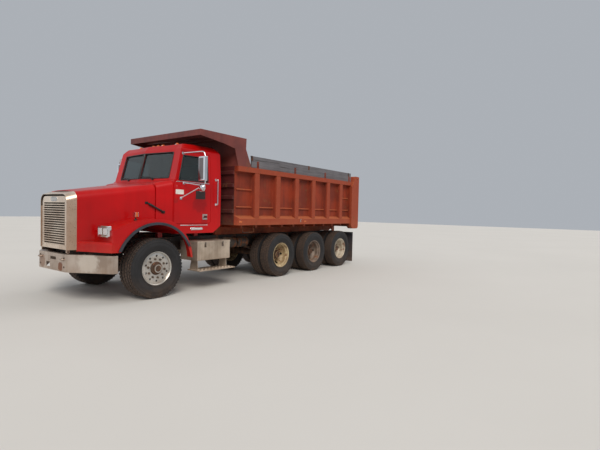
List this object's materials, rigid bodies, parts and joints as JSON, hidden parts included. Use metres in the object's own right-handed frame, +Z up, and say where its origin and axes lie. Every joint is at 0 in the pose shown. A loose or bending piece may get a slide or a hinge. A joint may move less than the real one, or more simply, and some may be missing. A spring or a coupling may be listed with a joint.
{
  "type": "dump truck",
  "caption": "Bonneted dump truck with steered front wheels, twin rear wheels and a ribbed steel bed that tips on a rear hinge.",
  "frame": {"origin": "middle of the truck's length on the ground, on its centre plane", "axes": "+X forwards, towards the grille; +Y to the truck's left; +Z up"},
  "size_m": [8.51, 2.99, 3.145],
  "materials": {
    "frame_paint": "dusty black paint with rust",
    "axle_iron": "dusty cast iron",
    "spring_steel": "rusty spring steel",
    "worn_aluminium": "dull, scratched and dusty",
    "satin_aluminium": "satin",
    "black_plastic": "matt",
    "cab_red": "glossy red paint",
    "tinted_glass": "dark tint",
    "seat_cloth": "woven cloth",
    "chrome_trim": "bright",
    "dark_rubber": "weathered",
    "bed_orange": "worn orange-brown paint with rust",
    "grey_wood": "weathered grey planks",
    "tyre_rubber": "dusty",
    "rear_rim_paint": "chipped off-white paint",
    "hoist_steel": "oily steel"
  },
  "bodies": {
    "chassis": {"frame_rails": "frame_paint", "crossmembers": "frame_paint", "front_bumper": "worn_aluminium", "radiator": "black_plastic", "engine": "axle_iron", "drive_shafts": "axle_iron", "front_axle": "axle_iron", "leaf_springs": "spring_steel", "rear_axles": "axle_iron", "fuel_tank": "worn_aluminium", "battery_box": "worn_aluminium", "side_steps": "worn_aluminium", "air_tanks": "frame_paint", "muffler": "frame_paint", "mud_flaps": "dark_rubber", "cab_shell": "cab_red", "cab_glass": "tinted_glass", "seats": "seat_cloth", "dashboard": "black_plastic", "steering_wheel": "black_plastic", "grab_handles": "chrome_trim"},
    "bonnet": {"hood": "cab_red", "grille": "satin_aluminium", "headlights": "chrome_trim", "fender_flares": "dark_rubber"},
    "bed": {"bed_floor": "bed_orange", "bed_side_left": "bed_orange", "bed_side_right": "bed_orange", "bed_front_wall": "bed_orange", "cab_shield": "bed_orange", "side_boards": "grey_wood"},
    "rear_gate": {"tailgate": "bed_orange"},
    "hoist_cylinder": {"hoist_barrel": "hoist_steel"},
    "hoist_ram": {"hoist_rod": "hoist_steel"},
    "door_assembly_left": {"door_left": "cab_red", "door_glass_left": "tinted_glass", "mirror_left": "black_plastic"},
    "steering_knuckle_left": {"knuckle_left": "axle_iron"},
    "front_wheel_assembly_left": {"front_tyre_left": "tyre_rubber", "front_wheel_left": "satin_aluminium"},
    "door_assembly_right": {"door_right": "cab_red", "door_glass_right": "tinted_glass", "mirror_right": "black_plastic"},
    "steering_knuckle_right": {"knuckle_right": "axle_iron"},
    "front_wheel_assembly_right": {"front_tyre_right": "tyre_rubber", "front_wheel_right": "satin_aluminium"},
    "rear_wheel_pair_1_left": {"rear_tyres_1_left": "tyre_rubber", "rear_wheels_1_left": "rear_rim_paint"},
    "rear_wheel_pair_1_right": {"rear_tyres_1_right": "tyre_rubber", "rear_wheels_1_right": "rear_rim_paint"},
    "rear_wheel_pair_2_left": {"rear_tyres_2_left": "tyre_rubber", "rear_wheels_2_left": "rear_rim_paint"},
    "rear_wheel_pair_2_right": {"rear_tyres_2_right": "tyre_rubber", "rear_wheels_2_right": "rear_rim_paint"},
    "rear_wheel_pair_3_left": {"rear_tyres_3_left": "tyre_rubber", "rear_wheels_3_left": "rear_rim_paint"},
    "rear_wheel_pair_3_right": {"rear_tyres_3_right": "tyre_rubber", "rear_wheels_3_right": "rear_rim_paint"}
  },
  "joints": [
    {"name": "hood_tilt", "type": "hinge", "parent": "chassis", "child": "bonnet", "pos_m": [4.155, 0, 0.845], "axis": [0, 1, 0], "range_deg": [0, 75]},
    {"name": "door_left_swing", "type": "hinge", "parent": "chassis", "child": "door_assembly_left", "pos_m": [2.522, 1.036, 1.75], "axis": [0, 0, -1], "range_deg": [0, 70]},
    {"name": "steer_left", "type": "hinge", "parent": "chassis", "child": "steering_knuckle_left", "pos_m": [2.955, 0.9, 0.532], "axis": [0, 0, 1], "range_deg": [-35, 35]},
    {"name": "front_wheel_left_spin", "type": "hinge", "parent": "steering_knuckle_left", "child": "front_wheel_assembly_left", "pos_m": [2.955, 0.997, 0.532], "axis": [0, 1, 0], "continuous": true},
    {"name": "door_right_swing", "type": "hinge", "parent": "chassis", "child": "door_assembly_right", "pos_m": [2.522, -1.036, 1.75], "axis": [0, 0, 1], "range_deg": [0, 70]},
    {"name": "steer_right", "type": "hinge", "parent": "chassis", "child": "steering_knuckle_right", "pos_m": [2.955, -0.9, 0.532], "axis": [0, 0, 1], "range_deg": [-35, 35]},
    {"name": "front_wheel_right_spin", "type": "hinge", "parent": "steering_knuckle_right", "child": "front_wheel_assembly_right", "pos_m": [2.955, -0.997, 0.532], "axis": [0, 1, 0], "continuous": true},
    {"name": "rear_wheels_1_left_spin", "type": "hinge", "parent": "chassis", "child": "rear_wheel_pair_1_left", "pos_m": [-0.545, 0.875, 0.525], "axis": [0, 1, 0], "continuous": true},
    {"name": "rear_wheels_1_right_spin", "type": "hinge", "parent": "chassis", "child": "rear_wheel_pair_1_right", "pos_m": [-0.545, -0.875, 0.525], "axis": [0, 1, 0], "continuous": true},
    {"name": "rear_wheels_2_left_spin", "type": "hinge", "parent": "chassis", "child": "rear_wheel_pair_2_left", "pos_m": [-1.969, 0.875, 0.525], "axis": [0, 1, 0], "continuous": true},
    {"name": "rear_wheels_2_right_spin", "type": "hinge", "parent": "chassis", "child": "rear_wheel_pair_2_right", "pos_m": [-1.969, -0.875, 0.525], "axis": [0, 1, 0], "continuous": true},
    {"name": "rear_wheels_3_left_spin", "type": "hinge", "parent": "chassis", "child": "rear_wheel_pair_3_left", "pos_m": [-3.34, 0.875, 0.525], "axis": [0, 1, 0], "continuous": true},
    {"name": "rear_wheels_3_right_spin", "type": "hinge", "parent": "chassis", "child": "rear_wheel_pair_3_right", "pos_m": [-3.34, -0.875, 0.525], "axis": [0, 1, 0], "continuous": true},
    {"name": "bed_tilt", "type": "hinge", "parent": "chassis", "child": "bed", "pos_m": [-4.045, 0, 0.96], "axis": [0, -1, 0], "range_deg": [0, 45]},
    {"name": "tailgate_swing", "type": "hinge", "parent": "bed", "child": "rear_gate", "pos_m": [-4.155, 0, 2.63], "axis": [0, 1, 0], "range_deg": [0, 60]},
    {"name": "hoist_swing", "type": "hinge", "parent": "chassis", "child": "hoist_cylinder", "pos_m": [-2.845, 0, 0.76], "axis": [0, -1, 0], "range_deg": [0, 59.4]},
    {"name": "hoist_stroke", "type": "slide", "parent": "hoist_cylinder", "child": "hoist_ram", "axis": [0.9891, 0, 0.1472], "range_m": [0, 0.6935]}
  ],
  "couplings": [
    {"joint": "steer_right", "follows": "steer_left", "ratio": 1},
    {"joint": "hoist_swing", "follows": "bed_tilt", "ratio": 1.3182},
    {"joint": "hoist_stroke", "follows": "bed_tilt", "m_per_rad": 0.88218}
  ]
}
